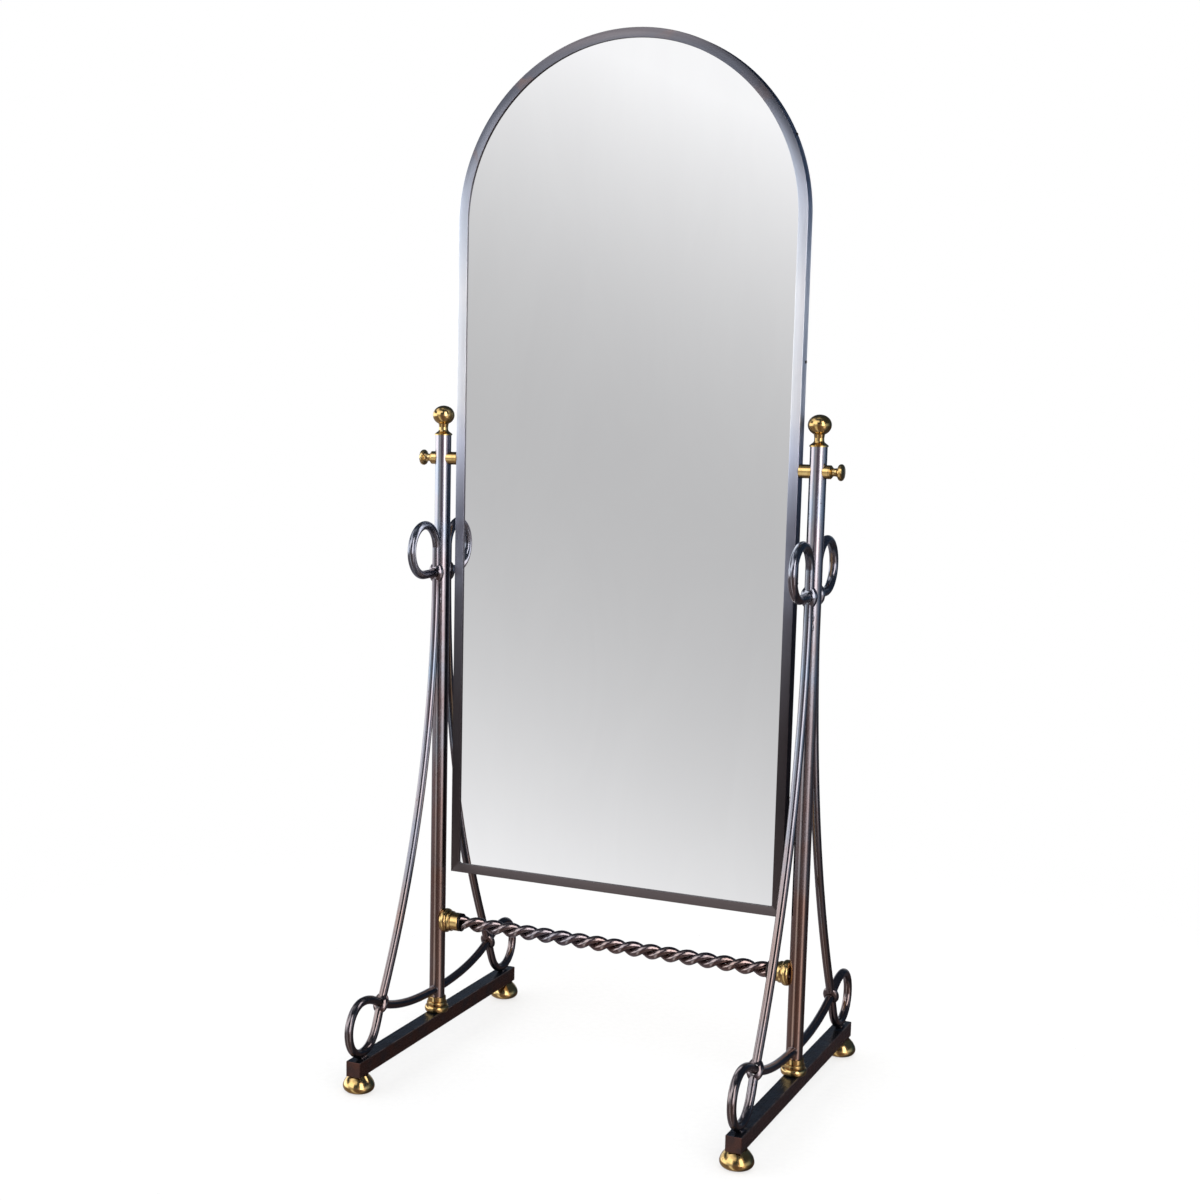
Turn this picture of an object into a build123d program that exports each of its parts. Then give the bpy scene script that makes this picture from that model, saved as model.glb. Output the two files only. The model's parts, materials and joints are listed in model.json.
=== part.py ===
from build123d import *
import math
import os

os.makedirs("parts", exist_ok=True)

# Cheval floor mirror. Millimetres, +Z up, front toward -Y, X from left to right.
# The origin is on the floor, midway between the two stands.

# ---- stands -------------------------------------------------------------
STAND_X = 338.0          # post axis to centre plane
BAR = 27.0               # square section of the base bar
BAR_LENGTH = 620.0
BAR_EDGE = 1.2           # eased edges
BAR_BOTTOM = 31.0        # height of a foot
BAR_TOP = BAR_BOTTOM + BAR
FOOT_Y = 289.5           # foot axis to post axis
FOOT_R = 27.4
STEM_R = 4.0             # threaded stem of a foot
STEM_LENGTH = 14.0
POST_R = 14.0
POST_WALL = 2.5
POST_TOP = 1108.5

# ---- turned brass collars -----------------------------------------------
BEAD_LENGTH = 12.6       # the round bead at the wide end
STEP_LENGTH = 7.2        # the middle step
NECK_LENGTH = 8.9        # the small end, on the posts
LONG_NECK_LENGTH = 14.5  # the small end, on the stretcher
COLLAR_FIT = 0.05        # radial, round the post

# ---- finials ------------------------------------------------------------
FINIAL_BALL_R = 19.1
FINIAL_BALL_H = 16.8     # half height, so that the top is POST_TOP + 51.4
FINIAL_BALL_Z = 34.6     # ball centre above the post
SPIGOT_LENGTH = 15.0     # inside the post

# ---- bent rod braces: U is the distance out from the post axis -------------
ROD_R = 7.5
ROD_U = POST_R + ROD_R   # rod axis beside the post
EYE_TOP_Z = 867.9        # height at which the rod pierces itself, top eye
LOOP_TOP_W = 46.5        # upper loop, half width and half height to the rod axis
LOOP_TOP_H = 43.2
EYE_LOW_U = 213.0        # lower eye
EYE_LOW_Z = 134.5
LOOP_LOW_U = 279.6       # lower loop
LOOP_LOW_R = 45.0
SCROLL_Z = 100.5         # where the scroll meets the post
SCROLL_MIDDLE = (130.0, 110.5)
ROD_BITE = 4.0           # how deep a rod end is drawn into the post before it is cut to it
EYE_X = 14.2             # swollen eye: half width, half depth, half height
EYE_Y = 8.9
EYE_Z = 19.0
EYE_HOLE_R = 8.5         # punched hole round the rod
EYE_HOLE_LEAN = 24.0     # the rod slopes down through the lower eye

# ---- stretcher ----------------------------------------------------------
STRETCHER_Z = 231.7
STRAND_R = 6.7
HELIX_R = 6.75
TWIST_PITCH = 67.0
STRETCHER_BORE_R = 13.7  # of the stretcher's collars and rings
COLLAR_SEAT = 11.5       # wide end of a stretcher collar, from the post axis
END_RING_R = 16.4
END_RING_LENGTH = 5.0

# ---- mirror -------------------------------------------------------------
PIVOT_Z = 1068.5
HALF_W = 308.0
MIRROR_BOTTOM = 327.5
ARCH_Z = 1468.5          # spring line of the arch
FRAME_FRONT = -9.5
FRAME_BACK = 15.5
FLANGE_W = 16.0          # front face of the angle section
WINDOW_CORNER_R = 4.0    # bottom corners of the opening
METAL = 3.5
GLASS_T = 5.0
FELT_T = 1.5
BOARD_T = 12.0
EDGE_GAP = 0.5
SCREW_PITCH = 357.0
SCREW_FIRST = 174.0      # first side screw above the pivot
SCREW_ANGLE = 25.0       # arch screw above the spring line
SCREW_Y = 8.5
SCREW_R = 1.5
SCREW_HEAD_R = 2.6
SCREW_LENGTH = 16.0

# ---- pivot hardware -----------------------------------------------------
STUD_R = 5.0
THREAD_R = 4.0
THREAD_LENGTH = 13.0
STUD_SHOULDER = 0.5      # the stud's shoulder stops this far inside the outer spacer
RUN = 0.05               # running clearance, radial
SPACER_R = 11.2
SADDLE = 9.5             # how far in the saddle ends start from the post axis
OUTER_FACE = 19.3        # outer face of the outer spacer from the post axis
GAP = 0.3                # between pieces that move past each other
KNOB_END = 42.2          # rim of the knob's face, from the post axis
KNOB_BORE = 16.0         # depth of the threaded hole

SIDES = (("left", -1), ("right", 1))
ENDS = (("front", -1), ("back", 1))


def save(shape, name):
    shape.label = name
    export_step(shape, "parts/" + name + ".step")


def turned(points, smooth=False):
    """Solid of revolution about Z from (radius, height) points, closed on the axis."""
    edge = Spline(*points) if smooth else Polyline(*points)
    low = points[0]
    high = points[-1]
    outline = edge + Polyline(high, (0, high[1]), (0, low[1]), low)
    face = make_face(Plane.XZ * outline)
    return revolve(face, Axis.Z, 360)


def rod(path, radius):
    """Round rod along a path."""
    section = Plane(origin=path @ 0, z_dir=path % 0) * Circle(radius)
    return sweep(section, path=path)


def post_cutter(side, radius=POST_R):
    return Pos(side * STAND_X, 0, POST_TOP / 2) * Cylinder(radius, POST_TOP + 100)


# ---- base bars and feet -------------------------------------------------
def base_bar(side):
    bar = Pos(side * STAND_X, 0, BAR_BOTTOM + BAR / 2) * Box(BAR, BAR_LENGTH, BAR)
    bar = fillet(bar.edges(), BAR_EDGE)
    for _, end in ENDS:
        hole = Pos(side * STAND_X, end * FOOT_Y, BAR_BOTTOM + STEM_LENGTH / 2)
        bar -= hole * Cylinder(STEM_R + 0.1, STEM_LENGTH + 1)
    return bar


def foot(side, end):
    bun = turned(
        [
            (14.0, 0.0), (20.4, 1.5), (25.4, 5.3), (FOOT_R, 11.0),
            (26.3, 16.6), (23.4, 22.4), (19.6, 27.2), (16.2, BAR_BOTTOM),
        ],
        smooth=True,
    )
    stem = Pos(0, 0, BAR_BOTTOM + STEM_LENGTH / 2) * Cylinder(STEM_R, STEM_LENGTH)
    return Pos(side * STAND_X, end * FOOT_Y, 0) * (bun + stem)


# ---- posts --------------------------------------------------------------
def post(side):
    length = POST_TOP - BAR_TOP
    tube = Cylinder(POST_R, length) - Cylinder(POST_R - POST_WALL, length + 2)
    tube = Pos(side * STAND_X, 0, BAR_TOP + length / 2) * tube
    bore = Pos(side * STAND_X, 0, PIVOT_Z) * Rot(0, 90, 0) * Cylinder(STUD_R + RUN, 3 * POST_R)
    return tube - bore


def tiers(bore, neck_length):
    """Turned collar along Z: a round bead at the wide end, a step and a neck."""
    bead = turned(
        [(18.0, 0.0), (20.4, 1.2), (21.8, 4.5), (21.9, 7.0), (21.2, 10.2), (19.0, BEAD_LENGTH)],
        smooth=True,
    )
    step = turned([(17.2, 0.0), (18.2, 0.9), (18.5, 3.6), (18.2, 6.3), (17.2, STEP_LENGTH)])
    neck = turned([(15.9, 0.0), (16.6, 0.8), (16.6, neck_length - 0.7), (16.0, neck_length)])
    collar = bead + Pos(0, 0, BEAD_LENGTH) * step + Pos(0, 0, BEAD_LENGTH + STEP_LENGTH) * neck
    length = BEAD_LENGTH + STEP_LENGTH + neck_length
    return collar - Pos(0, 0, length / 2) * Cylinder(bore, length + 2)


def post_collar(side):
    return Pos(side * STAND_X, 0, BAR_TOP) * tiers(POST_R + COLLAR_FIT, NECK_LENGTH)


def finial(side):
    ball = Pos(0, 0, FINIAL_BALL_Z) * scale(Sphere(1), by=(FINIAL_BALL_R, FINIAL_BALL_R, FINIAL_BALL_H))
    neck = turned([
        (15.4, 0.0), (15.4, 2.2), (12.4, 4.6), (9.6, 6.6),
        (8.2, 9.0), (8.0, 14.0), (8.9, 20.0), (9.0, 24.0),
    ])
    spigot = Pos(0, 0, -SPIGOT_LENGTH / 2) * Cylinder(POST_R - POST_WALL - COLLAR_FIT, SPIGOT_LENGTH)
    return Pos(side * STAND_X, 0, POST_TOP) * (ball + neck + spigot)


# ---- braces: one rod each, looped and pierced through itself twice -------
def back_brace():
    """The back brace with the post axis on Z."""
    plane = Plane.YZ
    top_u = ROD_U + LOOP_TOP_W
    top_z = EYE_TOP_Z + LOOP_TOP_H

    # from the post through the top eye, round the upper loop and back to the eye
    stub = Line((POST_R - ROD_BITE, EYE_TOP_Z), (top_u, EYE_TOP_Z))
    loop = EllipticalCenterArc((top_u, top_z), LOOP_TOP_W, LOOP_TOP_H, start_angle=-90, arc_size=270)
    upper = rod(Wire([plane.from_local_coords(e) for e in (stub, loop)]), ROD_R)

    # down beside the post, out in one long bend, and the near side of the lower loop
    down = Line((ROD_U, top_z), (ROD_U, EYE_TOP_Z))
    leg = TangentArc((ROD_U, EYE_TOP_Z), (EYE_LOW_U, EYE_LOW_Z), tangent=(0, -1))
    lean = 2 * math.atan2(EYE_LOW_U - ROD_U, EYE_TOP_Z - EYE_LOW_Z)
    loop_bottom = BAR_TOP + ROD_R
    loop_top = loop_bottom + 2 * LOOP_LOW_R
    near = Spline(
        (EYE_LOW_U, EYE_LOW_Z),
        (LOOP_LOW_U, loop_bottom),
        tangents=[(math.sin(lean), -math.cos(lean)), (1, 0)],
    )
    far = ThreePointArc(
        (LOOP_LOW_U, loop_bottom),
        (LOOP_LOW_U + LOOP_LOW_R, loop_bottom + LOOP_LOW_R),
        (LOOP_LOW_U, loop_top),
    )
    middle = rod(Wire([plane.from_local_coords(e) for e in (down, leg, near, far)]), ROD_R)

    # over the top of the lower loop, through the eye, and back to the post
    scroll = Spline(
        (LOOP_LOW_U, loop_top),
        (EYE_LOW_U, EYE_LOW_Z),
        SCROLL_MIDDLE,
        (POST_R - ROD_BITE, SCROLL_Z),
        tangents=[(-1, 0), (-1, -0.03)],
    )
    lower = rod(Wire([plane.from_local_coords(scroll)]), ROD_R)

    eye = scale(Sphere(1), by=(EYE_X, EYE_Y, EYE_Z))
    punch = Cylinder(EYE_HOLE_R, 3 * EYE_Y)
    eye_top = Pos(0, ROD_U, EYE_TOP_Z) * eye
    hole_top = Pos(0, ROD_U, EYE_TOP_Z) * Rot(90, 0, 0) * punch
    eye_low = Pos(0, EYE_LOW_U, EYE_LOW_Z) * Rot(math.degrees(lean), 0, 0) * eye
    hole_low = Pos(0, EYE_LOW_U, EYE_LOW_Z) * Rot(90 + EYE_HOLE_LEAN, 0, 0) * punch
    body = middle + eye_top + eye_low
    body = body - hole_top - hole_low
    body = body + upper + lower
    return body - Pos(0, 0, POST_TOP / 2) * Cylinder(POST_R, POST_TOP + 100)


BACK_BRACE = back_brace()


def brace(side, end):
    return Pos(side * STAND_X, 0, 0) * Rot(0, 0, 0 if end > 0 else 180) * BACK_BRACE


# ---- stretcher ----------------------------------------------------------
def strand(start_angle):
    length = 2 * (STAND_X - POST_R) + 6
    line = Helix(pitch=TWIST_PITCH, height=length, radius=HELIX_R, lefthand=True)
    section = Plane(origin=line @ 0, z_dir=line % 0) * Circle(STRAND_R)
    twist = sweep(section, path=line, is_frenet=True)
    twist = Pos(-length / 2, 0, STRETCHER_Z) * Rot(0, 90, 0) * Rot(0, 0, start_angle) * twist
    return twist - post_cutter(-1) - post_cutter(1)


def stretcher_collar(side):
    collar = tiers(STRETCHER_BORE_R, LONG_NECK_LENGTH)
    collar = Pos(side * (STAND_X - COLLAR_SEAT), 0, STRETCHER_Z) * Rot(0, -side * 90, 0) * collar
    return collar - post_cutter(side)


def stretcher_ring(side):
    collar_length = BEAD_LENGTH + STEP_LENGTH + LONG_NECK_LENGTH
    x = STAND_X - COLLAR_SEAT - collar_length - END_RING_LENGTH / 2
    ring = Cylinder(END_RING_R, END_RING_LENGTH) - Cylinder(STRETCHER_BORE_R, END_RING_LENGTH + 1)
    ring = chamfer(ring.edges().filter_by(GeomType.CIRCLE).sort_by(SortBy.RADIUS)[-2:], 0.7)
    return Pos(side * x, 0, STRETCHER_Z) * Rot(0, 90, 0) * ring


# ---- mirror -------------------------------------------------------------
def arch_outline(inset):
    """Face in the XZ plane, arched on top, inset from the outside of the frame."""
    half = HALF_W - inset
    low = MIRROR_BOTTOM + inset
    sides = Polyline((-half, ARCH_Z), (-half, low), (half, low), (half, ARCH_Z))
    top = ThreePointArc((half, ARCH_Z), (0, ARCH_Z + half), (-half, ARCH_Z))
    return make_face(sides + top)


def slab(inset, front, thickness):
    """Arched slab whose front face is at Y = front."""
    face = Plane(origin=(0, front, 0), x_dir=(1, 0, 0), z_dir=(0, -1, 0)) * arch_outline(inset)
    return extrude(face, amount=-thickness)


def side_screw_spots():
    """Positions and outward angles of the screws on the right side."""
    spots = []
    for i in range(3):
        spots.append((HALF_W, PIVOT_Z + SCREW_FIRST - i * SCREW_PITCH, 0.0))
    a = math.radians(SCREW_ANGLE)
    spots.append((HALF_W * math.cos(a), ARCH_Z + HALF_W * math.sin(a), SCREW_ANGLE))
    return spots


def at_screws(piece):
    """Copies of a piece whose local +Z points out of the frame edge, at every screw."""
    made = []
    for x, z, angle in side_screw_spots():
        made.append(Pos(x, SCREW_Y, z) * Rot(0, 90 - angle, 0) * piece)
        made.append(Pos(-x, SCREW_Y, z) * Rot(0, angle - 90, 0) * piece)
    return made


def frame():
    outer = slab(0, FRAME_FRONT, FRAME_BACK - FRAME_FRONT)
    pocket = slab(METAL, FRAME_FRONT + METAL, FRAME_BACK - FRAME_FRONT)
    window = slab(FLANGE_W, FRAME_FRONT - 1, METAL + 2)
    corners = window.edges().filter_by(Axis.Y).group_by(Axis.Z)[0]
    window = fillet(corners, WINDOW_CORNER_R)
    ring = outer - pocket - window
    for _, side in SIDES:
        ring -= Pos(side * HALF_W, 0, PIVOT_Z) * Rot(0, 90, 0) * Cylinder(STUD_R, 4 * METAL)
    for hole in at_screws(Cylinder(SCREW_R + 0.1, 4 * METAL)):
        ring -= hole
    return ring


def backboard():
    board = slab(METAL + EDGE_GAP, FRAME_FRONT + METAL + GLASS_T + FELT_T, BOARD_T)
    for hole in at_screws(Cylinder(SCREW_R, 2 * SCREW_LENGTH)):
        board -= hole
    return board


def frame_screws():
    dome = turned([(SCREW_HEAD_R, 0.0), (SCREW_HEAD_R, 0.8), (2.0, 1.8), (1.0, 2.3)])
    screw = dome + Pos(0, 0, -SCREW_LENGTH / 2) * Cylinder(SCREW_R, SCREW_LENGTH)
    return Compound(at_screws(screw))


# ---- pivots -------------------------------------------------------------
def stud(side):
    start = HALF_W - METAL
    shank = STAND_X + OUTER_FACE - STUD_SHOULDER - start
    pin = Pos(0, 0, shank / 2) * Cylinder(STUD_R, shank)
    pin += Pos(0, 0, shank + THREAD_LENGTH / 2) * Cylinder(THREAD_R, THREAD_LENGTH)
    return Pos(side * start, 0, PIVOT_Z) * Rot(0, side * 90, 0) * pin


def inner_spacer(side):
    face = HALF_W + GAP
    length = STAND_X - SADDLE - face
    ring = Cylinder(SPACER_R, length) - Cylinder(STUD_R + RUN, length + 2)
    ring = Pos(side * (face + length / 2), 0, PIVOT_Z) * Rot(0, 90, 0) * ring
    return ring - post_cutter(side)


def outer_spacer(side):
    length = OUTER_FACE - SADDLE
    ring = Cylinder(SPACER_R, length) - Cylinder(STUD_R + RUN, length + 2)
    ring = Pos(side * (STAND_X + SADDLE + length / 2), 0, PIVOT_Z) * Rot(0, 90, 0) * ring
    return ring - post_cutter(side, POST_R + GAP)


def knob(side):
    start = OUTER_FACE + GAP
    body = turned([
        (SPACER_R - 0.6, start), (SPACER_R, start + 0.6), (SPACER_R, start + 2.0), (8.2, start + 4.6),
        (6.6, start + 5.6), (6.4, start + 9.0), (7.2, start + 12.0), (9.6, start + 14.0),
        (12.4, start + 15.4), (13.5, start + 17.4), (13.5, start + 19.6), (12.6, start + 21.5),
        (10.8, KNOB_END), (4.0, KNOB_END + 0.7),
    ])
    body -= Pos(0, 0, start + KNOB_BORE / 2 - 1) * Cylinder(THREAD_R + RUN, KNOB_BORE + 2)
    return Pos(side * STAND_X, 0, PIVOT_Z) * Rot(0, side * 90, 0) * body


for name, side in SIDES:
    save(base_bar(side), "base_bar_" + name)
    save(post(side), "post_" + name)
    save(post_collar(side), "post_collar_" + name)
    save(finial(side), "finial_" + name)
    save(stretcher_collar(side), "stretcher_collar_" + name)
    save(stretcher_ring(side), "stretcher_ring_" + name)
    save(inner_spacer(side), "pivot_inner_spacer_" + name)
    save(outer_spacer(side), "pivot_outer_spacer_" + name)
    save(knob(side), "pivot_knob_" + name)
    save(stud(side), "pivot_stud_" + name)
    for where, end in ENDS:
        save(foot(side, end), "foot_" + name + "_" + where)
        save(brace(side, end), "brace_" + name + "_" + where)

save(strand(0), "stretcher_strand_a")
save(strand(180), "stretcher_strand_b")
save(frame(), "mirror_frame")
save(slab(METAL + EDGE_GAP, FRAME_FRONT + METAL, GLASS_T), "mirror_glass")
save(slab(METAL + EDGE_GAP, FRAME_FRONT + METAL + GLASS_T, FELT_T), "mirror_felt")
save(backboard(), "mirror_backboard")
save(frame_screws(), "frame_screws")
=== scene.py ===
import bpy
import bmesh
import json
import math
import random
from mathutils import Matrix, Vector


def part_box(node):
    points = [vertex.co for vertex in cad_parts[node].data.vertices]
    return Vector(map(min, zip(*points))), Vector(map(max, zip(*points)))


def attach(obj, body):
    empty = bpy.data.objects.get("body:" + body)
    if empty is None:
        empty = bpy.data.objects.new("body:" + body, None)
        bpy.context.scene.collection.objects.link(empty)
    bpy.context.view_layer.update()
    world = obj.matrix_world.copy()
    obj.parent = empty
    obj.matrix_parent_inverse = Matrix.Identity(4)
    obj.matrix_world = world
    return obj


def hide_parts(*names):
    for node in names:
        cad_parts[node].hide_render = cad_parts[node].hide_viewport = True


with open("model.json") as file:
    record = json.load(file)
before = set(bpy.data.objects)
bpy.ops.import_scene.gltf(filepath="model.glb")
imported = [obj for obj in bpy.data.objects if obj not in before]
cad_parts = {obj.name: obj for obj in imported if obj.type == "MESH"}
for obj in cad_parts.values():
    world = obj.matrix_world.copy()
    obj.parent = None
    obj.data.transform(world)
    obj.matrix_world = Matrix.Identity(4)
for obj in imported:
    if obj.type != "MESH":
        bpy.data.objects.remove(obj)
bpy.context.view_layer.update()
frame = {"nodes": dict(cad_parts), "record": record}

# Looks of the cheval floor mirror: metres, the same frame as the CAD model.
SLOTS = {s["node"]: s["material_slot"] for s in frame["record"]["subparts"]}
SIDES = (("left", -1), ("right", 1))
ENDS = (-1, 1)           # front and back, as signs of Y

# ---- sizes read from the frame, and a few that a box can't give ----------
POST_LO, POST_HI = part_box("post_right")
STAND_X = (POST_LO.x + POST_HI.x) / 2
POST_R = (POST_HI.x - POST_LO.x) / 2
BAR_LO, BAR_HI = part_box("base_bar_right")
BRACE_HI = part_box("brace_right_back")[1]
ROD_R = 0.0075
FRAME_LO, FRAME_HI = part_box("mirror_frame")
HALF_W = FRAME_HI.x
ARCH_Z = FRAME_HI.z - HALF_W
SCREW_LO, SCREW_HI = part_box("frame_screws")
PIVOT_Z = sum(c.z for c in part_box("pivot_stud_right")) / 2
LOOP_TOP_H = 0.0432      # half height of the upper loop, to the rod axis
EYE_TOP_Z = BRACE_HI.z - ROD_R - 2 * LOOP_TOP_H
LOOP_LOW_R = 0.045
LOOP_LOW_U = BRACE_HI.y - ROD_R - LOOP_LOW_R
SCROLL_RISE = 0.0425     # scroll end above the base bar
METAL = 0.0035           # thickness of the frame's angle section
FLANGE_W = 0.016         # width of its front face


# ---- camera --------------------------------------------------------------
def add_camera():
    """Chest height, a little over three metres off, to the right of the mirror."""
    data = bpy.data.cameras.new("camera")
    camera = bpy.data.objects.new("camera", data)
    bpy.context.scene.collection.objects.link(camera)
    yaw = math.radians(26.80)
    pitch = math.radians(8.74)
    roll = math.radians(0.72)
    flat = math.cos(pitch)
    ahead = Vector((-math.sin(yaw) * flat, math.cos(yaw) * flat, -math.sin(pitch)))
    level = Vector((math.cos(yaw), math.sin(yaw), 0))
    above = level.cross(ahead)
    right = math.cos(roll) * level + math.sin(roll) * above
    up = math.cos(roll) * above - math.sin(roll) * level
    matrix = Matrix((right, up, -ahead)).transposed().to_4x4()
    matrix.translation = Vector((1.2459, -3.0992, 1.2368))
    camera.matrix_world = matrix
    data.sensor_width = 36
    data.lens = 59.11
    data.shift_x = 0.125
    data.shift_y = 0.0534
    bpy.context.scene.camera = camera


# ---- node helpers --------------------------------------------------------
class Graph:
    """Short forms for building a node tree."""

    def __init__(self, tree):
        self.tree = tree

    def add(self, kind, *inputs, **settings):
        """A new node with its settings and its inputs in order; None leaves an input alone."""
        node = self.tree.nodes.new(kind)
        for name, value in settings.items():
            setattr(node, name, value)
        for socket, value in zip(node.inputs, inputs):
            self.put(socket, value)
        return node

    def put(self, socket, value):
        if value is None:
            return
        if isinstance(value, bpy.types.NodeSocket):
            self.tree.links.new(value, socket)
        elif isinstance(value, (tuple, list)) and len(value) == 3 and len(socket.default_value) == 4:
            socket.default_value = (*value, 1)
        else:
            socket.default_value = value

    def math(self, operation, a, b=None):
        return self.add("ShaderNodeMath", a, b, operation=operation).outputs[0]

    def span(self, value, low, high, to_low=0.0, to_high=1.0, smooth=True):
        """Value mapped from low..high to to_low..to_high, held at the ends."""
        kind = "SMOOTHSTEP" if smooth else "LINEAR"
        node = self.add("ShaderNodeMapRange", value, low, high, to_low, to_high, interpolation_type=kind)
        return node.outputs[0]

    def mix(self, share, a, b, blend="MIX"):
        node = self.tree.nodes.new("ShaderNodeMix")
        node.data_type = "RGBA"
        node.blend_type = blend
        self.put(node.inputs[0], share)
        self.put(node.inputs[6], a)
        self.put(node.inputs[7], b)
        return node.outputs[2]

    def ramp(self, value, stops):
        """Colour looked up between stops, which are (place, colour) pairs."""
        node = self.add("ShaderNodeValToRGB", value)
        elements = node.color_ramp.elements
        for spare in list(elements)[1:]:
            elements.remove(spare)
        elements[0].position = stops[0][0]
        elements[0].color = (*stops[0][1], 1)
        for place, colour in stops[1:]:
            elements.new(place).color = (*colour, 1)
        return node.outputs[0]

    def noise(self, where, scale, detail, rough, bend=0.0):
        node = self.add("ShaderNodeTexNoise", where)
        node.inputs["Scale"].default_value = scale
        node.inputs["Detail"].default_value = detail
        node.inputs["Roughness"].default_value = rough
        node.inputs["Distortion"].default_value = bend
        return node.outputs[0]

    def stretch(self, where, factors):
        return self.add("ShaderNodeVectorMath", where, factors, operation="MULTIPLY").outputs[0]

    def parts(self, vector):
        return self.add("ShaderNodeSeparateXYZ", vector).outputs

    def bump(self, height, strength, distance, under=None):
        node = self.add("ShaderNodeBump")
        node.inputs["Strength"].default_value = strength
        node.inputs["Distance"].default_value = distance
        self.put(node.inputs["Height"], height)
        self.put(node.inputs["Normal"], under)
        return node.outputs[0]


class Finish(Graph):
    """A material with a Principled shader."""

    def __init__(self, name, metallic=0.0, **uniform):
        self.material = bpy.data.materials.new(name)
        self.material.use_nodes = True
        super().__init__(self.material.node_tree)
        self.shader = self.tree.nodes["Principled BSDF"]
        self.shader.inputs["Metallic"].default_value = metallic
        for socket, value in uniform.items():
            self.shader.inputs[socket.replace("_", " ")].default_value = value
        self.place = self.add("ShaderNodeTexCoord").outputs["Object"]

    def wear(self, colour, roughness, normal=None, tangent=None):
        """Connects what varies over the surface; returns the material."""
        self.put(self.shader.inputs["Base Color"], colour)
        self.put(self.shader.inputs["Roughness"], roughness)
        self.put(self.shader.inputs["Normal"], normal)
        self.put(self.shader.inputs["Tangent"], tangent)
        return self.material


# ---- materials -----------------------------------------------------------
PAINTED_REFLECTION_HEIGHTS = (0.28, 0.62)     # heights between which the burnished steel's painted reflection turns from brown to blue-grey
PAINTED_LIGHT_HEIGHTS = (0.3, 1.8)        # heights at the two ends of the frame's painted reflection and its painted side shade
PLIES = 9
FLOOR_CLEAR = 0.68               # how far the pale floor lets the white room through


def burnished_steel(name, tints, drawn):
    """Polished and waxed steel, with a painted reflection in its colour: darker and browner low down,
    standing in for a mirrored brown floor, blue-grey high up.

    tints go over the brown and over the blue-grey; drawn is how strongly the lines along an upright show.
    """
    f = Finish(name, metallic=1.0, Anisotropic=0.35)
    height = f.parts(f.place)[2]
    cloud = f.noise(f.place, 7.0, 4.0, 0.55, 0.6)
    fine = f.noise(f.stretch(f.place, (420, 420, 11)), 1.0, 3.0, 0.6)
    spots = f.noise(f.place, 150.0, 2.0, 0.5)
    # painted reflection: low holds the brown a mirrored floor would give, high the blue-grey of the upper
    # steel
    low = f.ramp(cloud, [
        (0.36, (0.33, 0.225, 0.185)), (0.5, (0.31, 0.235, 0.21)), (0.66, (0.275, 0.24, 0.24)),
    ])
    high = f.ramp(cloud, [
        (0.36, (0.43, 0.36, 0.37)), (0.5, (0.41, 0.40, 0.43)), (0.64, (0.36, 0.41, 0.48)),
    ])
    low = f.mix(1.0, low, tints[0], "MULTIPLY")
    high = f.mix(1.0, high, tints[1], "MULTIPLY")
    # painted reflection: the colour changes from the painted brown to blue-grey with height
    colour = f.mix(f.span(height, *PAINTED_REFLECTION_HEIGHTS), low, high)
    colour = f.mix(f.span(fine, 0.40, 0.72, 0.0, drawn), colour, (0.16, 0.12, 0.11))
    colour = f.mix(f.span(spots, 0.64, 0.76, 0.0, 0.40), colour, (0.12, 0.07, 0.05))
    roughness = f.math("ADD", f.span(cloud, 0.3, 0.7, 0.12, 0.19), f.span(fine, 0.3, 0.7, 0.0, 0.06))
    dents = f.bump(f.noise(f.place, 26.0, 2.0, 0.4), 0.09, 0.0008)
    lines = f.bump(fine, 0.15 * drawn, 0.0002, dents)
    return f.wear(colour, roughness, lines)


def bar_steel(half, middle_z):
    """Blackened square bar: brown oxide on the sides, blue-black on top as a painted reflection of the dark
    ceiling, rubbed bright along the edges as wear with a painted edge highlight.
    """
    f = Finish("bar_steel", metallic=0.85, Specular_IOR_Level=0.25)
    x, _, z = f.parts(f.place)[:3]
    off_x = f.math("ABSOLUTE", f.math("SUBTRACT", f.math("ABSOLUTE", x), STAND_X))
    off_z = f.math("ABSOLUTE", f.math("SUBTRACT", z, middle_z))
    edge = f.span(f.math("DIVIDE", f.math("MINIMUM", off_x, off_z), half), 0.90, 0.97)
    scuff = f.noise(f.place, 38.0, 4.0, 0.6, 0.3)
    lines = f.noise(f.stretch(f.place, (900, 9, 900)), 1.0, 3.0, 0.6)
    sides = f.ramp(scuff, [
        (0.35, (0.092, 0.040, 0.030)), (0.52, (0.074, 0.038, 0.032)), (0.68, (0.052, 0.036, 0.036)),
    ])
    painted_ceiling_reflection_tops = f.ramp(scuff, [
        (0.35, (0.032, 0.032, 0.040)), (0.52, (0.020, 0.028, 0.044)), (0.68, (0.024, 0.040, 0.064)),
    ])
    # painted reflection: the tops are painted blue-black, the dark ceiling mirrored in them
    upward = f.parts(f.add("ShaderNodeNewGeometry").outputs["Normal"])[2]
    colour = f.mix(f.span(upward, 0.5, 0.9), sides, painted_ceiling_reflection_tops)
    colour = f.mix(f.span(lines, 0.4, 0.7, 0.0, 0.3), colour, (0.026, 0.020, 0.020))
    # the rubbed edges are partly wear and partly a painted edge highlight
    edge_wear_and_highlight = f.math("MULTIPLY", edge, f.span(scuff, 0.35, 0.6, 0.35, 1.0))
    colour = f.mix(edge_wear_and_highlight, colour, (0.30, 0.24, 0.22))
    roughness = f.math("ADD", f.span(scuff, 0.3, 0.7, 0.16, 0.26), f.span(lines, 0.3, 0.7, 0.0, 0.10))
    normal = f.bump(lines, 0.06, 0.0002, f.bump(scuff, 0.08, 0.0006))
    return f.wear(colour, roughness, normal)


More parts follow.
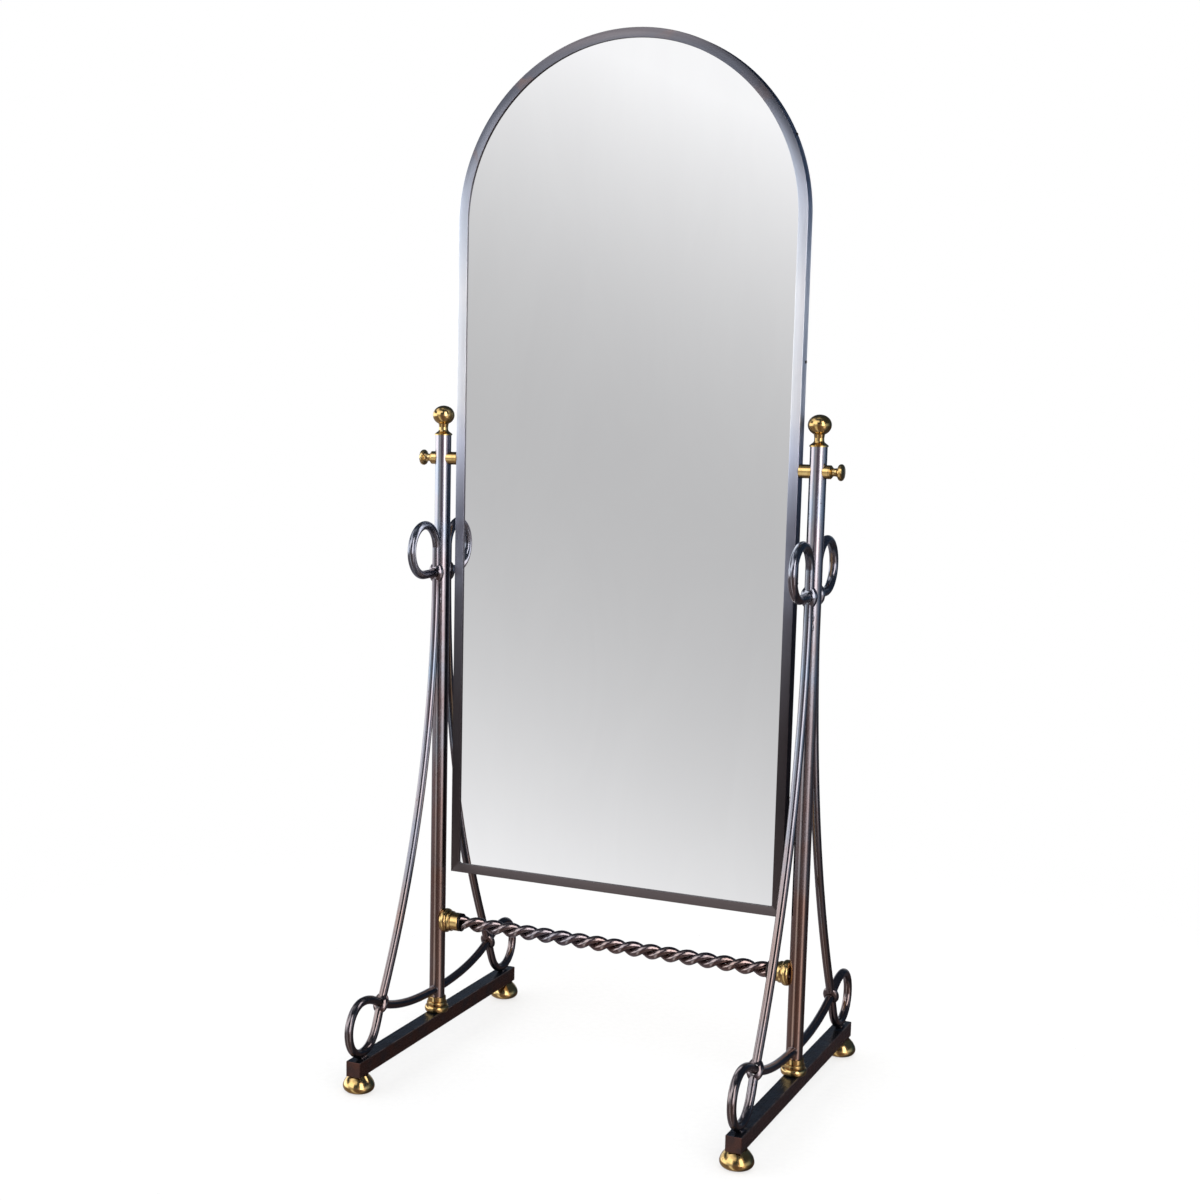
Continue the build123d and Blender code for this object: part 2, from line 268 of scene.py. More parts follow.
def frame_steel():
    """Angle section brushed along its length; its colour holds a painted reflection: bright at mid height,
    dark low down and round the arch.
    """
    f = Finish("frame_steel", metallic=1.0, Anisotropic=0.9, Anisotropic_Rotation=0.25)
    run = f.add("ShaderNodeTexCoord").outputs["UV"]
    around = f.parts(run)[1]
    height = f.parts(f.place)[2]
    cloud = f.noise(f.place, 5.0, 4.0, 0.55, 0.5)
    brush = f.noise(f.stretch(run, (5.0, 1500.0, 1.0)), 1.0, 3.0, 0.65)
    coarse = f.noise(f.stretch(run, (9.0, 260.0, 1.0)), 1.0, 2.0, 0.5)
    tint = f.noise(f.place, 11.0, 3.0, 0.5, 1.2)
    across = f.span(around, 0.0, FLANGE_W, smooth=False)
    arch = f.span(height, ARCH_Z + 0.02, ARCH_Z + 0.14)
    tone_z = f.math("SUBTRACT", height, f.math("MULTIPLY", arch, f.math("MULTIPLY", across, 0.05)))
    # painted reflection: bright where a window would be mirrored at mid height, dark low down and round the
    # arch
    painted_reflection_tones = f.ramp(f.span(tone_z, *PAINTED_LIGHT_HEIGHTS, smooth=False), [
        (0.0, (0.125, 0.102, 0.100)), (0.14, (0.072, 0.064, 0.066)), (0.22, (0.085, 0.075, 0.080)),
        (0.29, (0.130, 0.125, 0.138)), (0.35, (0.165, 0.165, 0.190)), (0.39, (0.30, 0.31, 0.37)),
        (0.452, (0.27, 0.28, 0.335)), (0.488, (0.43, 0.45, 0.53)), (0.53, (0.74, 0.77, 0.88)),
        (0.58, (1.0, 1.0, 1.0)), (0.70, (1.0, 1.0, 1.0)), (0.76, (0.78, 0.81, 0.86)),
        (0.81, (0.64, 0.68, 0.76)), (0.85, (0.44, 0.46, 0.53)), (0.90, (0.21, 0.225, 0.27)),
        (0.94, (0.20, 0.20, 0.225)), (0.97, (0.32, 0.285, 0.29)),
    ])
    # painted shade: the outer part of the front face round the arch is darkened
    painted_rim_shade = f.math("MULTIPLY", arch, f.span(across, 0.0, 1.0, 0.62, 0.0))
    painted_reflection_tones = f.mix(painted_rim_shade, painted_reflection_tones, (0.05, 0.052, 0.066))
    bluer = f.mix(1.0, painted_reflection_tones, (0.75, 0.90, 1.0), "MULTIPLY")
    colour = f.mix(f.span(cloud, 0.36, 0.64, 0.0, 0.14), painted_reflection_tones, bluer)
    straw = f.math("MULTIPLY", f.span(tint, 0.56, 0.70, 0.0, 0.35), f.span(height, ARCH_Z, ARCH_Z + 0.08))
    colour = f.mix(straw, colour, (0.36, 0.215, 0.16))
    scored = f.mix(0.5, colour, (0.03, 0.03, 0.034))
    colour = f.mix(f.span(brush, 0.38, 0.72, 0.0, 0.20), colour, scored)
    # painted shade: a dark line along the inner lip, where the frame meets the glass
    lip_from = f.span(around, FLANGE_W + 0.0004, FLANGE_W + 0.0012)
    lip_to = f.span(around, FLANGE_W + METAL + 0.001, FLANGE_W + METAL)
    lip_painted_shade = f.math("MULTIPLY", lip_from, lip_to)
    colour = f.mix(f.math("MULTIPLY", lip_painted_shade, 0.85), colour, (0.05, 0.05, 0.055))
    # painted shade: the outer side face is darkened, most low down and high up
    outside = 2 * FLANGE_W + FRAME_HI.y - FRAME_LO.y
    side = f.span(around, outside - 0.001, outside)
    shade = f.ramp(f.span(height, *PAINTED_LIGHT_HEIGHTS, smooth=False), [
        (0.50, (0.25, 0.31, 0.40)), (0.60, (0.62, 0.66, 0.74)), (0.74, (0.62, 0.68, 0.76)),
        (0.82, (0.18, 0.24, 0.34)),
    ])
    colour = f.mix(side, colour, f.mix(1.0, colour, shade, "MULTIPLY"))
    roughness = f.math("ADD", f.span(coarse, 0.3, 0.7, 0.32, 0.40), f.span(brush, 0.3, 0.7, 0.0, 0.06))
    tangent = f.add("ShaderNodeTangent", direction_type="UV_MAP").outputs[0]
    return f.wear(colour, roughness, f.bump(brush, 0.012, 0.0002), tangent)


def brass(name, closeness):
    """Polished turned brass: tool lines round the axis, tarnish in thin clouds.

    closeness is how close the lines lie along X, Y and Z.
    """
    f = Finish(name, metallic=1.0)
    cloud = f.noise(f.place, 26.0, 4.0, 0.55, 0.8)
    speck = f.noise(f.place, 420.0, 2.0, 0.5)
    lines = f.noise(f.stretch(f.place, closeness), 1.0, 2.0, 0.6)
    colour = f.ramp(cloud, [
        (0.32, (0.50, 0.325, 0.115)), (0.5, (0.61, 0.42, 0.165)), (0.7, (0.71, 0.52, 0.235)),
    ])
    colour = f.mix(f.span(lines, 0.45, 0.75, 0.0, 0.25), colour, (0.34, 0.23, 0.085))
    colour = f.mix(f.span(speck, 0.66, 0.76, 0.0, 0.5), colour, (0.20, 0.125, 0.045))
    roughness = f.math("ADD", f.span(cloud, 0.3, 0.7, 0.19, 0.13), f.span(lines, 0.4, 0.7, 0.0, 0.05))
    normal = f.bump(lines, 0.08, 0.00015, f.bump(cloud, 0.015, 0.0006))
    return f.wear(colour, roughness, normal)


def dark_steel():
    """Blackened steel, the high spots rubbed bare."""
    f = Finish("dark_steel", metallic=1.0)
    rub = f.noise(f.place, 900.0, 3.0, 0.6)
    colour = f.ramp(rub, [
        (0.4, (0.018, 0.016, 0.016)), (0.62, (0.045, 0.038, 0.035)), (0.74, (0.16, 0.14, 0.13)),
    ])
    return f.wear(colour, f.span(rub, 0.3, 0.7, 0.5, 0.32), f.bump(rub, 0.2, 0.0002))


def stud_steel():
    """Bright turned steel."""
    f = Finish("stud_steel", metallic=1.0)
    lines = f.noise(f.stretch(f.place, (4000, 30, 30)), 1.0, 2.0, 0.6)
    colour = f.ramp(lines, [(0.35, (0.36, 0.35, 0.35)), (0.65, (0.52, 0.51, 0.50))])
    return f.wear(colour, f.span(lines, 0.3, 0.7, 0.2, 0.34), f.bump(lines, 0.15, 0.0001))


def mirror_glass():
    """Silvered float glass: a clear coat over the silver, a faint haze of wiping marks."""
    f = Finish("mirror_glass", metallic=1.0, Coat_Weight=0.35, Coat_Roughness=0.01, Coat_IOR=1.5)
    wipe = f.noise(f.stretch(f.place, (7, 7, 2.2)), 1.0, 4.0, 0.6, 1.5)
    dust = f.noise(f.place, 900.0, 1.0, 0.5)
    colour = f.ramp(wipe, [(0.35, (0.915, 0.915, 0.918)), (0.65, (0.930, 0.931, 0.933))])
    colour = f.mix(f.span(dust, 0.74, 0.80, 0.0, 0.06), colour, (0.8, 0.8, 0.79))
    roughness = f.span(wipe, 0.45, 0.75, 0.012, 0.035)
    return f.wear(colour, roughness)


def felt():
    """Grey wool felt backing."""
    f = Finish("felt", Sheen_Weight=0.4, Sheen_Roughness=0.6)
    wool = f.noise(f.place, 700.0, 4.0, 0.7, 1.0)
    cloud = f.noise(f.place, 12.0, 3.0, 0.5)
    warm = f.ramp(wool, [(0.3, (0.05, 0.05, 0.052)), (0.7, (0.14, 0.138, 0.135))])
    cool = f.ramp(wool, [(0.3, (0.04, 0.042, 0.045)), (0.7, (0.11, 0.112, 0.115))])
    colour = f.mix(f.span(cloud, 0.3, 0.7), warm, cool)
    return f.wear(colour, f.span(wool, 0.3, 0.7, 0.85, 1.0), f.bump(wool, 0.6, 0.0006))


def plywood(board_lo, board_hi):
    """Birch-faced plywood: long figure on the faces, layered veneers on the edges."""
    f = Finish("plywood", Coat_Weight=0.12, Coat_Roughness=0.35)
    x, y, _ = f.parts(f.place)[:3]
    facing = f.parts(f.add("ShaderNodeNewGeometry").outputs["Normal"])[1]
    face = f.span(f.math("ABSOLUTE", facing), 0.4, 0.6)
    bent = f.noise(f.stretch(f.place, (5, 5, 0.9)), 1.0, 3.0, 0.5)
    figure = f.noise(f.stretch(f.place, (34, 34, 2.0)), 1.0, 4.0, 0.55, 1.6)
    rings = f.math("ADD", f.math("MULTIPLY", x, 14.0), f.math("MULTIPLY", bent, 7.0))
    rings = f.math("SINE", f.math("MULTIPLY", rings, 9.0))
    pores = f.noise(f.stretch(f.place, (1100, 1100, 26)), 1.0, 2.0, 0.6)
    wood = f.ramp(figure, [
        (0.3, (0.40, 0.235, 0.115)), (0.5, (0.52, 0.335, 0.18)), (0.7, (0.62, 0.44, 0.26)),
    ])
    wood = f.mix(f.span(rings, -0.2, 1.0, 0.0, 0.30), wood, (0.36, 0.20, 0.095))
    wood = f.mix(f.span(pores, 0.55, 0.75, 0.0, 0.45), wood, (0.22, 0.12, 0.055))
    depth = f.span(y, board_lo.y, board_hi.y, smooth=False)
    layer = f.math("SINE", f.math("MULTIPLY", depth, PLIES * math.pi))
    plies = f.mix(f.span(layer, -0.15, 0.15), (0.26, 0.155, 0.08), (0.50, 0.34, 0.19))
    colour = f.mix(face, plies, wood)
    normal = f.bump(pores, 0.25, 0.0003, f.bump(figure, 0.1, 0.0006))
    return f.wear(colour, f.span(figure, 0.3, 0.7, 0.48, 0.62), normal)


def floor_finish(fade_from, fade_to):
    """Pale matt floor that melts into the white surroundings; metal reflects the room's ground instead."""
    f = Finish("floor")
    grain = f.noise(f.place, 90.0, 3.0, 0.5)
    away = f.add("ShaderNodeVectorMath", f.place, operation="LENGTH").outputs["Value"]
    gone = f.span(away, fade_from, fade_to, FLOOR_CLEAR, 1.0)
    gone = f.math("MAXIMUM", gone, f.add("ShaderNodeLightPath").outputs["Is Glossy Ray"])
    colour = f.ramp(grain, [(0.3, (0.925, 0.925, 0.925)), (0.7, (0.95, 0.95, 0.95))])
    material = f.wear(colour, 0.9)
    clear = f.add("ShaderNodeBsdfTransparent").outputs[0]
    blend = f.add("ShaderNodeMixShader", gone, f.shader.outputs[0], clear).outputs[0]
    f.put(f.tree.nodes["Material Output"].inputs["Surface"], blend)
    return material


# ---- surroundings --------------------------------------------------------
def turn(degrees):
    """Direction round the room, degrees from straight in front, as a share of a full turn."""
    return 0.5 + degrees / 360


def add_surroundings():
    """White to the eye; in reflections a studio with tall soft windows, a grey sweep and dark screens."""
    world = bpy.data.worlds.new("studio")
    bpy.context.scene.world = world
    world.use_nodes = True
    g = Graph(world.node_tree)
    x, y, z = g.parts(g.add("ShaderNodeTexCoord").outputs["Generated"])[:3]
    bearing = g.math("ARCTAN2", x, g.math("MULTIPLY", y, -1))
    bearing = g.math("ADD", g.math("DIVIDE", bearing, 2 * math.pi), 0.5)
    height = g.math("DEGREES", g.math("ARCSINE", z))

    walls = g.ramp(bearing, [
        (0.0, (0.35, 0.38, 0.42)), (turn(-150), (0.32, 0.36, 0.42)),
        (turn(-124), (1.3, 1.35, 1.45)), (turn(-104), (2.5, 2.55, 2.65)),
        (turn(-60), (2.5, 2.5, 2.6)), (turn(-47), (0.85, 1.0, 1.15)), (turn(-29), (0.38, 0.46, 0.56)),
        (turn(-12), (0.20, 0.21, 0.27)), (turn(2), (0.14, 0.12, 0.16)), (turn(20), (0.20, 0.16, 0.20)),
        (turn(30), (0.50, 0.47, 0.54)), (turn(38), (1.0, 0.95, 1.0)), (turn(66), (1.0, 1.0, 1.05)),
        (turn(84), (0.62, 0.72, 0.86)), (turn(102), (0.34, 0.44, 0.58)), (turn(122), (0.06, 0.10, 0.17)),
        (turn(140), (0.015, 0.035, 0.07)), (turn(166), (0.015, 0.035, 0.07)), (turn(176), (0.25, 0.28, 0.32)),
        (1.0, (0.35, 0.38, 0.42)),
    ])
    ground = g.ramp(bearing, [
        (0.0, (0.10, 0.10, 0.12)), (turn(-150), (0.32, 0.30, 0.33)), (turn(-100), (0.30, 0.27, 0.29)),
        (turn(-62), (0.26, 0.215, 0.22)), (turn(-20), (0.20, 0.14, 0.13)), (turn(24), (0.17, 0.115, 0.105)),
        (turn(46), (0.26, 0.20, 0.19)), (turn(82), (0.26, 0.22, 0.23)), (turn(98), (0.08, 0.09, 0.11)),
        (turn(120), (0.03, 0.035, 0.05)), (turn(150), (0.07, 0.05, 0.05)), (1.0, (0.035, 0.04, 0.06)),
    ])
    room = g.mix(g.span(height, -2.0, -11.0), walls, ground)
    # straight ahead of the glass: a pale sweep, darkest along a line a little below eye height
    lean = g.span(bearing, turn(-40), turn(-4), -6.8, 6.7, smooth=False)
    off = g.math("ADD", g.math("ADD", height, 3.5), lean)
    up = g.math("MULTIPLY", g.math("POWER", g.math("MAXIMUM", off, 0.0), 2.0), 0.0033)
    down = g.math("MULTIPLY", g.math("POWER", g.math("MINIMUM", off, 0.0), 2.0), 0.0024)
    level = g.math("MINIMUM", g.math("ADD", g.math("ADD", up, down), 0.545), 1.0)
    sweep = g.add("ShaderNodeCombineColor", level, level, g.math("MULTIPLY", level, 1.012)).outputs[0]
    ahead = g.math("MULTIPLY", g.span(bearing, turn(-37), turn(-29)), g.span(bearing, turn(-7), turn(-15)))
    room = g.mix(ahead, room, sweep)
    ceiling = g.math("MULTIPLY", g.span(height, 9.0, 20.0), g.span(height, 88.0, 60.0, 0.6, 1.0))
    room = g.mix(ceiling, room, (0.03, 0.045, 0.075))

    def window(room, left, right, low, high, soft, light):
        """The room with one soft-edged window of light in it; all edges in degrees."""
        from_left = g.span(bearing, turn(left), turn(left + soft))
        from_right = g.span(bearing, turn(right), turn(right - soft))
        sideways = g.math("MULTIPLY", from_left, from_right)
        upright = g.math("MULTIPLY", g.span(height, low, low + soft), g.span(height, high, high - soft))
        return g.mix(g.math("MULTIPLY", sideways, upright), room, light)

    room = window(room, 36, 65, -9, 48, 4, (3.8, 3.6, 3.7))
    room = window(room, 52, 80, -36, -4, 5, (1.15, 1.02, 1.02))
    room = window(room, -112, 14, 30, 60, 8, (1.4, 1.4, 1.5))
    room = window(room, -62, -8, 9, 46, 6, (2.4, 2.4, 2.5))
    glossy = g.add("ShaderNodeLightPath").outputs["Is Glossy Ray"]
    seen = g.mix(glossy, (1.0, 1.0, 1.0), room)
    background = world.node_tree.nodes["Background"]
    g.put(background.inputs["Color"], seen)


def add_light(name, place, size, power, tone):
    """Soft area light aimed at the middle of the object."""
    data = bpy.data.lights.new(name, "AREA")
    data.shape = "DISK"
    data.size = size
    data.energy = power
    data.color = tone
    lamp = bpy.data.objects.new(name, data)
    bpy.context.scene.collection.objects.link(lamp)
    lamp.location = place
    aim = Vector((0, 0, 0.8)) - Vector(place)
    lamp.rotation_euler = aim.to_track_quat("-Z", "Y").to_euler()
    lamp.visible_glossy = False


def add_floor():
    """A thin disc just under the feet."""
    mesh = bpy.data.meshes.new("floor")
    b = bmesh.new()
    bmesh.ops.create_circle(b, cap_ends=True, segments=96, radius=2.4)
    b.to_mesh(mesh)
    b.free()
    floor = bpy.data.objects.new("floor", mesh)
    bpy.context.scene.collection.objects.link(floor)
    floor.location.z = -0.0003
    mesh.materials.append(floor_finish(0.55, 1.8))


# ---- mesh helpers --------------------------------------------------------
def add_piece(name, vertices, faces, body, material, smooth_angle):
    """A mesh object, smooth where its faces meet at less than smooth_angle degrees."""
    mesh = bpy.data.meshes.new(name)
    mesh.from_pydata([tuple(v) for v in vertices], [], faces)
    mesh.validate()
    mesh.materials.append(material)
    piece = bpy.data.objects.new(name, mesh)
    bpy.context.scene.collection.objects.link(piece)
    mesh.shade_smooth()
    mesh.set_sharp_from_angle(angle=math.radians(smooth_angle))
    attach(piece, body)
    return piece


def join(vertices, faces, more_vertices, more_faces):
    """Adds one mesh's vertices and faces to lists that hold others."""
    start = len(vertices)
    vertices += more_vertices
    faces += [tuple(start + k for k in face) for face in more_faces]


def arc_points(centre, radius, start, end, steps):
    """Points on an arc in a plane, angles in degrees."""
    made = []
    for i in range(steps + 1):
        a = math.radians(start + (end - start) * i / steps)
        made.append((centre[0] + radius * math.cos(a), centre[1] + radius * math.sin(a)))
    return made


# ---- mirror frame --------------------------------------------------------
INNER_CORNER_R = 0.004
ALONG_BOTTOM = 12        # steps along each stretch of the frame
UP_SIDE = 24
ROUND_CORNER = 6
ROUND_ARCH = 96


def angle_section():
    """(inset, y) outline of the angle section, counter-clockwise, with eased edges."""
    front = FRAME_LO.y
    back = FRAME_HI.y
    ease = 0.0009
    small = 0.0005
    section = arc_points((ease, front + ease), ease, 180, 270, 4)
    section += arc_points((FLANGE_W - small, front + small), small, 270, 360, 3)
    section += arc_points((FLANGE_W - small, front + METAL - small), small, 0, 90, 2)
    section += [(METAL, front + METAL)]
    section += arc_points((METAL - small, back - small), small, 0, 90, 2)
    section += arc_points((small, back - small), small, 90, 180, 2)
    return section


def frame_path(inset):
    """Closed path round the frame at an inset from its outside; the inner bottom corners are rounded."""
    half = HALF_W - inset
    low = FRAME_LO.z + inset
    corner = INNER_CORNER_R * (inset / FLANGE_W) ** 3
    path = []
    for i in range(ALONG_BOTTOM + 1):
        path.append((-half + corner + 2 * (half - corner) * i / ALONG_BOTTOM, low))
    path += arc_points((half - corner, low + corner), corner, -90, 0, ROUND_CORNER)[1:]
    for i in range(1, UP_SIDE + 1):
        path.append((half, low + corner + (ARCH_Z - low - corner) * i / UP_SIDE))
    path += arc_points((0, ARCH_Z), half, 0, 180, ROUND_ARCH)[1:]
    for i in range(1, UP_SIDE + 1):
        path.append((-half, ARCH_Z - (ARCH_Z - low - corner) * i / UP_SIDE))
    path += arc_points((-half + corner, low + corner), corner, 180, 270, ROUND_CORNER)[1:-1]
    return path


def add_frame(material):
    """The angle section swept round the frame's path."""
    section = angle_section()
    rings = [frame_path(inset) for inset, _ in section]
    stations = len(rings[0])
    count = len(section)
    vertices = []
    for i in range(stations):
        for ring, (_, y) in zip(rings, section):
            vertices.append((ring[i][0], y, ring[i][1]))
    faces = []
    for i in range(stations):
        for j in range(count):
            a = i * count + j
            b = i * count + (j + 1) % count
            c = (i + 1) % stations * count + (j + 1) % count
            d = (i + 1) % stations * count + j
            faces.append((a, d, c, b))
    piece = add_piece("frame_angle", vertices, faces, "mirror", material, 40)
    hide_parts("mirror_frame")

    # U runs along the frame and V round the section, both in metres
    outer = rings[0]
    along = [0.0]
    for i in range(stations):
        here = Vector(outer[i])
        along.append(along[-1] + (Vector(outer[(i + 1) % stations]) - here).length)
    around = [0.0]
    for j in range(count):
        here = Vector(section[j])
        around.append(around[-1] + (Vector(section[(j + 1) % count]) - here).length)
    layer = piece.data.uv_layers.new(name="run")
    for polygon in piece.data.polygons:
        i, j = divmod(polygon.index, count)
        spots = {i * count + j: (i, j), i * count + (j + 1) % count: (i, j + 1),
                 (i + 1) % stations * count + (j + 1) % count: (i + 1, j + 1),
                 (i + 1) % stations * count + j: (i + 1, j)}
        for loop in polygon.loop_indices:
            u, v = spots[piece.data.loops[loop].vertex_index]
            layer.data[loop].uv = (along[u], around[v])


# ---- screws --------------------------------------------------------------
SCREW_HEAD_R = 0.0026
SCREW_HEAD_H = 0.0023
SCREW_SHANK_R = 0.0014
SCREW_SHANK_L = 0.008
TOP_SCREW_RISE = 0.174   # the highest side screw above the pivot
SCREW_STEP = 0.357       # from one side screw down to the next
SHOULDER_ANGLE = math.radians(25)


def slotted_screw():
    """One round-head screw along +Z with a driver slot, as vertices and faces."""
    around = 28
    slot_half = 0.00032
    slot_deep = 0.0009
    tip = 0.0005
    rim = 0.0002
    b = bmesh.new()
    profile = [(0.0, -SCREW_SHANK_L), (SCREW_SHANK_R, tip - SCREW_SHANK_L), (SCREW_SHANK_R, 0.0)]
    profile += [(SCREW_HEAD_R - rim / 2, 0.0), (SCREW_HEAD_R, rim)]
    for i in range(7):
        a = math.radians(8 + 82 * i / 6)
        profile.append((SCREW_HEAD_R * math.cos(a), rim + (SCREW_HEAD_H - rim) * math.sin(a)))
    rings = []
    for radius, height in profile:
        if radius < 1e-6:
            rings.append([b.verts.new((0, 0, height))])
            continue
        ring = []
        for k in range(around):
            a = 2 * math.pi * k / around
            ring.append(b.verts.new((radius * math.cos(a), radius * math.sin(a), height)))
        rings.append(ring)
    for low, high in zip(rings, rings[1:]):
        for k in range(around):
            n = (k + 1) % around
            corners = [low[0], low[0]] if len(low) == 1 else [low[k], low[n]]
            corners += [high[0], high[0]] if len(high) == 1 else [high[n], high[k]]
            b.faces.new(list(dict.fromkeys(corners)))
    mesh = bpy.data.meshes.new("screw")
    bmesh.ops.recalc_face_normals(b, faces=b.faces)
    b.to_mesh(mesh)
    b.free()
    head = bpy.data.objects.new("screw", mesh)
    cutter_mesh = bpy.data.meshes.new("slot")
    b = bmesh.new()
    bmesh.ops.create_cube(b, size=1)
    bmesh.ops.scale(b, vec=(4 * SCREW_HEAD_R, 2 * slot_half, 2 * slot_deep), verts=b.verts)
    bmesh.ops.translate(b, vec=(0, 0, SCREW_HEAD_H), verts=b.verts)
    b.to_mesh(cutter_mesh)
    b.free()
    cutter = bpy.data.objects.new("slot", cutter_mesh)
    for thing in (head, cutter):
        bpy.context.scene.collection.objects.link(thing)
    cut = head.modifiers.new("slot", "BOOLEAN")
    cut.operation = "DIFFERENCE"
    cut.object = cutter
    cut.solver = "EXACT"
    bpy.context.view_layer.update()
    done = bpy.data.meshes.new_from_object(head.evaluated_get(bpy.context.evaluated_depsgraph_get()))
    vertices = [v.co.copy() for v in done.vertices]
    faces = [tuple(p.vertices) for p in done.polygons]
    for thing in (head, cutter):
        bpy.data.objects.remove(thing)
    return vertices, faces


def add_screws(material):
    """Eight screws in the outside of the frame: three up each side and one on each shoulder."""
    one, one_faces = slotted_screw()
    y = (SCREW_LO.y + SCREW_HI.y) / 2
    spots = [(HALF_W, PIVOT_Z + TOP_SCREW_RISE - SCREW_STEP * i, 0.0) for i in range(3)]
    shoulder_x = HALF_W * math.cos(SHOULDER_ANGLE)
    shoulder_z = ARCH_Z + HALF_W * math.sin(SHOULDER_ANGLE)
    spots.append((shoulder_x, shoulder_z, SHOULDER_ANGLE))
    chance = random.Random(11)
    vertices = []
    faces = []
    for x, z, angle in spots:
        for side in (1, -1):
            turned = Matrix.Rotation(chance.uniform(0, math.pi), 4, "Z")
            outward = Matrix.Rotation(math.pi / 2 - angle, 4, "Y") @ turned
            if side < 0:
                outward = Matrix.Rotation(math.pi, 4, "Z") @ outward
            place = Matrix.Translation((side * x, y, z)) @ outward
            join(vertices, faces, [place @ v for v in one], one_faces)
    piece = add_piece("frame_screw_heads", vertices, faces, "mirror", material, 35)
    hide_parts("frame_screws")


# ---- welds ---------------------------------------------------------------
BEAD_R = 0.0013
BEAD_RIPPLES = 11
TACK_RISE = 0.0008       # middle of a tack above the surface it lies on
LEG_TACK = (0.0068, 0.0030, 0.0026)      # half length, half width and half thickness
LEG_TACK_X = 0.0052      # from the middle of the leg
LEG_TACK_DROPS = (0.034, 0.050)          # below the top of the upper eye
LOOP_TACK = (0.0100, 0.0026, 0.0034)
LOOP_TACK_X = 0.0050     # from the middle of the loop


def bead(points, radius, ripples, chance):
    """Lumpy weld run laid along a closed line of points."""
    sides = 10
    count = len(points)
    vertices = []
    for i, point in enumerate(points):
        ahead = (points[(i + 1) % count] - points[i - 1]).normalized()
        across = ahead.orthogonal().normalized()
        other = ahead.cross(across)
        swell = 1 + 0.16 * abs(math.sin(math.pi * ripples * i / count)) + chance.uniform(-0.04, 0.04)
        for k in range(sides):
            a = 2 * math.pi * k / sides
            vertices.append(point + radius * swell * (math.cos(a) * across + math.sin(a) * other))
    faces = []
    for i in range(count):
        here = i * sides
        there = (i + 1) % count * sides
        for k in range(sides):
            n = (k + 1) % sides
            faces.append((here + k, here + n, there + n, there + k))
    return vertices, faces


def tack(centre, axes, chance):
    """Short weld: a rippled lens of metal; axes are its half length, half width and half thickness."""
    steps = 14
    sides = 12
    vertices = []
    for i in range(1, steps):
        t = -1 + 2 * i / steps
        thick = math.sqrt(1 - t * t) * (1 + 0.13 * math.sin(9 * t) + chance.uniform(-0.03, 0.03))
        for k in range(sides):
            a = 2 * math.pi * k / sides
            vertices.append((t, thick * math.cos(a), thick * math.sin(a)))
    vertices += [(-1, 0, 0), (1, 0, 0)]
    faces = []
    for i in range(steps - 2):
        for k in range(sides):
            n = (k + 1) % sides
            faces.append((i * sides + k, (i + 1) * sides + k, (i + 1) * sides + n, i * sides + n))
    last = (steps - 2) * sides
    for k in range(sides):
        n = (k + 1) % sides
        faces.append((len(vertices) - 2, k, n))
        faces.append((len(vertices) - 1, last + n, last + k))
    length, width, thickness = axes
    moved = [centre + a * length + b * width + c * thickness for a, b, c in vertices]
    return moved, faces


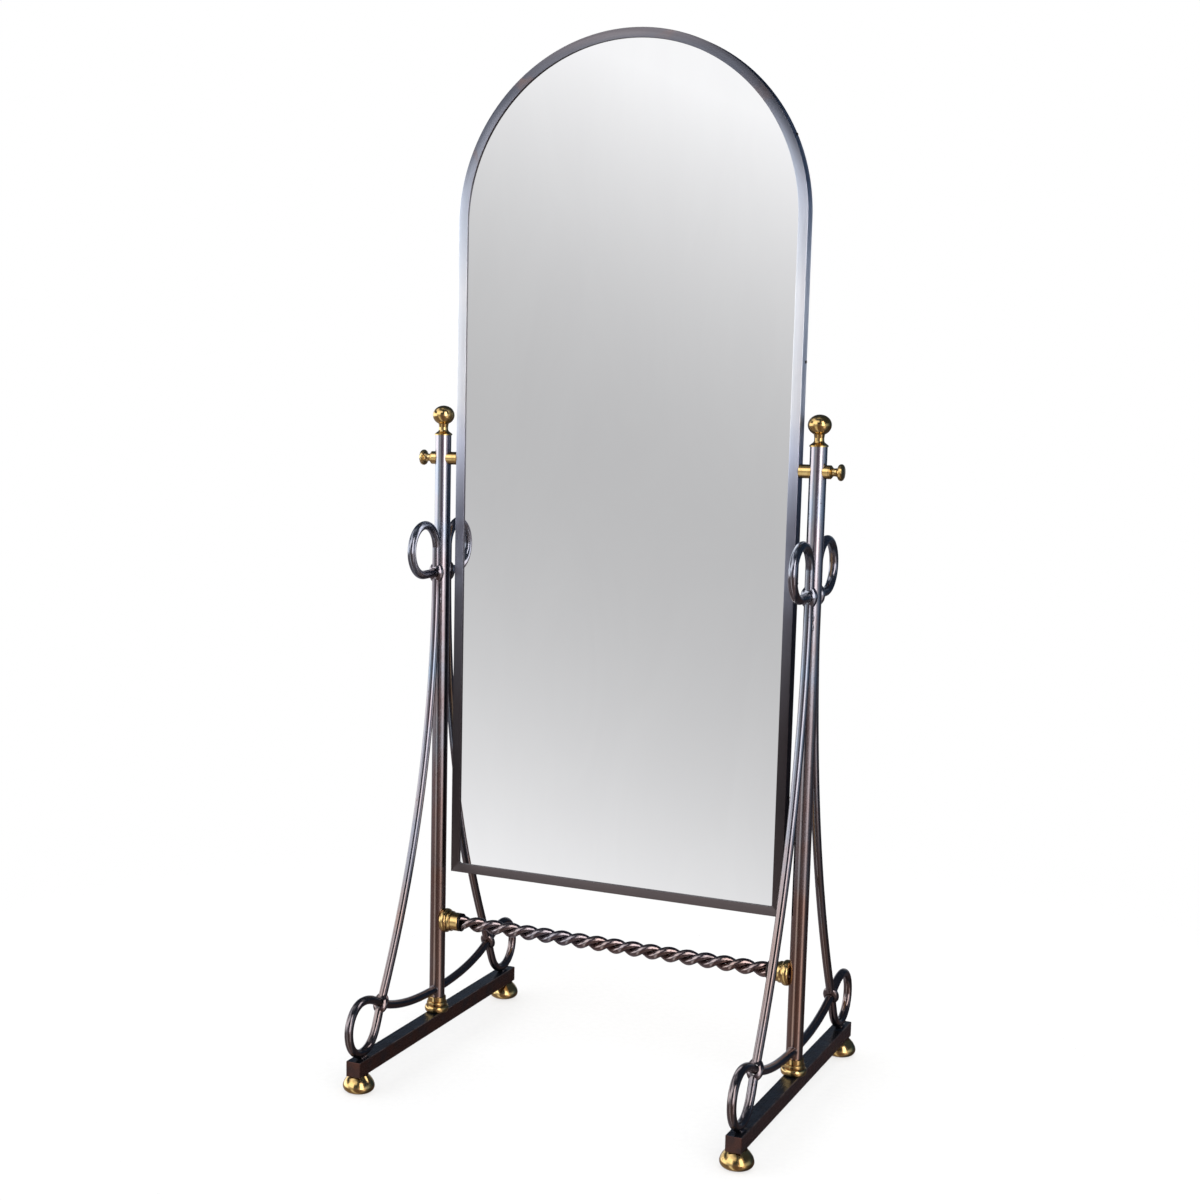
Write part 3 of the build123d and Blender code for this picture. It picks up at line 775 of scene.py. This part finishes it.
def add_welds(side_name, side, material):
    """Welds of one stand: scroll ends to post, legs to post, lower loops to bar."""
    chance = random.Random(23 + side)
    x = side * STAND_X
    vertices = []
    faces = []
    scroll_z = BAR_HI.z + SCROLL_RISE
    seam_r = 1.02 * ROD_R
    seam_points = 48
    for end in ENDS:
        # where the scroll's round end runs into the round post
        seam = []
        for i in range(seam_points):
            a = 2 * math.pi * i / seam_points
            out = seam_r * math.cos(a)
            y = end * math.sqrt(POST_R ** 2 - out ** 2)
            seam.append(Vector((x + out, y, scroll_z + seam_r * math.sin(a))))
        join(vertices, faces, *bead(seam, BEAD_R, BEAD_RIPPLES, chance))
        for hand in (-1, 1):
            # in the grooves between leg and post, under the upper eye
            for drop in LEG_TACK_DROPS:
                place = Vector((x + hand * LEG_TACK_X, end * (POST_R + TACK_RISE), EYE_TOP_Z - drop))
                long, wide, thick = LEG_TACK
                axes = (Vector((0, 0, long)), Vector((wide, 0, 0)), Vector((0, thick * hand, 0)))
                join(vertices, faces, *tack(place, axes, chance))
            # beside the lower loop, on the bar
            place = Vector((x + hand * LOOP_TACK_X, end * LOOP_LOW_U, BAR_HI.z + TACK_RISE))
            long, wide, thick = LOOP_TACK
            axes = (Vector((0, long, 0)), Vector((0, 0, wide)), Vector((thick * hand, 0, 0)))
            join(vertices, faces, *tack(place, axes, chance))
    add_piece("welds_" + side_name, vertices, faces, "stand", material, 80)


# ---- put together --------------------------------------------------------
add_camera()
bpy.context.scene.view_settings.view_transform = "Standard"
add_surroundings()
add_floor()
add_light("key", (2.2, -2.4, 2.6), 1.6, 38, (1.0, 0.98, 0.95))
add_light("fill", (-2.4, -1.6, 2.2), 1.8, 18, (0.95, 0.97, 1.0))
add_light("rim", (0.4, 2.6, 2.4), 1.6, 16, (1.0, 1.0, 1.0))

bar_half = (BAR_HI.z - BAR_LO.z) / 2
upright_brass = brass("brass_upright", (60, 60, 2600))
crosswise_brass = brass("brass_crosswise", (2600, 60, 60))
rod_steel = burnished_steel("rod_steel", ((0.64, 0.71, 0.78), (0.59, 0.61, 0.63)), 0.06)
strand_steel = burnished_steel("strand_steel", ((0.91, 0.98, 1.06), (1.0, 1.0, 1.0)), 0.10)
finishes = {
    "burnished_steel": burnished_steel("post_steel", ((1.0, 0.97, 0.94), (1.0, 1.0, 1.0)), 0.20),
    "bar_steel": bar_steel(bar_half, BAR_LO.z + bar_half),
    "frame_steel": frame_steel(),
    "dark_steel": dark_steel(),
    "stud_steel": stud_steel(),
    "mirror_glass": mirror_glass(),
    "felt": felt(),
    "plywood": plywood(*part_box("mirror_backboard")),
}
for name, node in frame["nodes"].items():
    if SLOTS[name] == "brass":
        crosswise = name.startswith(("stretcher", "pivot"))
        finish = crosswise_brass if crosswise else upright_brass
    elif name.startswith("brace"):
        finish = rod_steel
    elif name.startswith("stretcher_strand"):
        finish = strand_steel
    else:
        finish = finishes[SLOTS[name]]
    node.data.materials.clear()
    node.data.materials.append(finish)

add_frame(finishes["frame_steel"])
add_screws(finishes["dark_steel"])
for side_name, side in SIDES:
    add_welds(side_name, side, rod_steel)
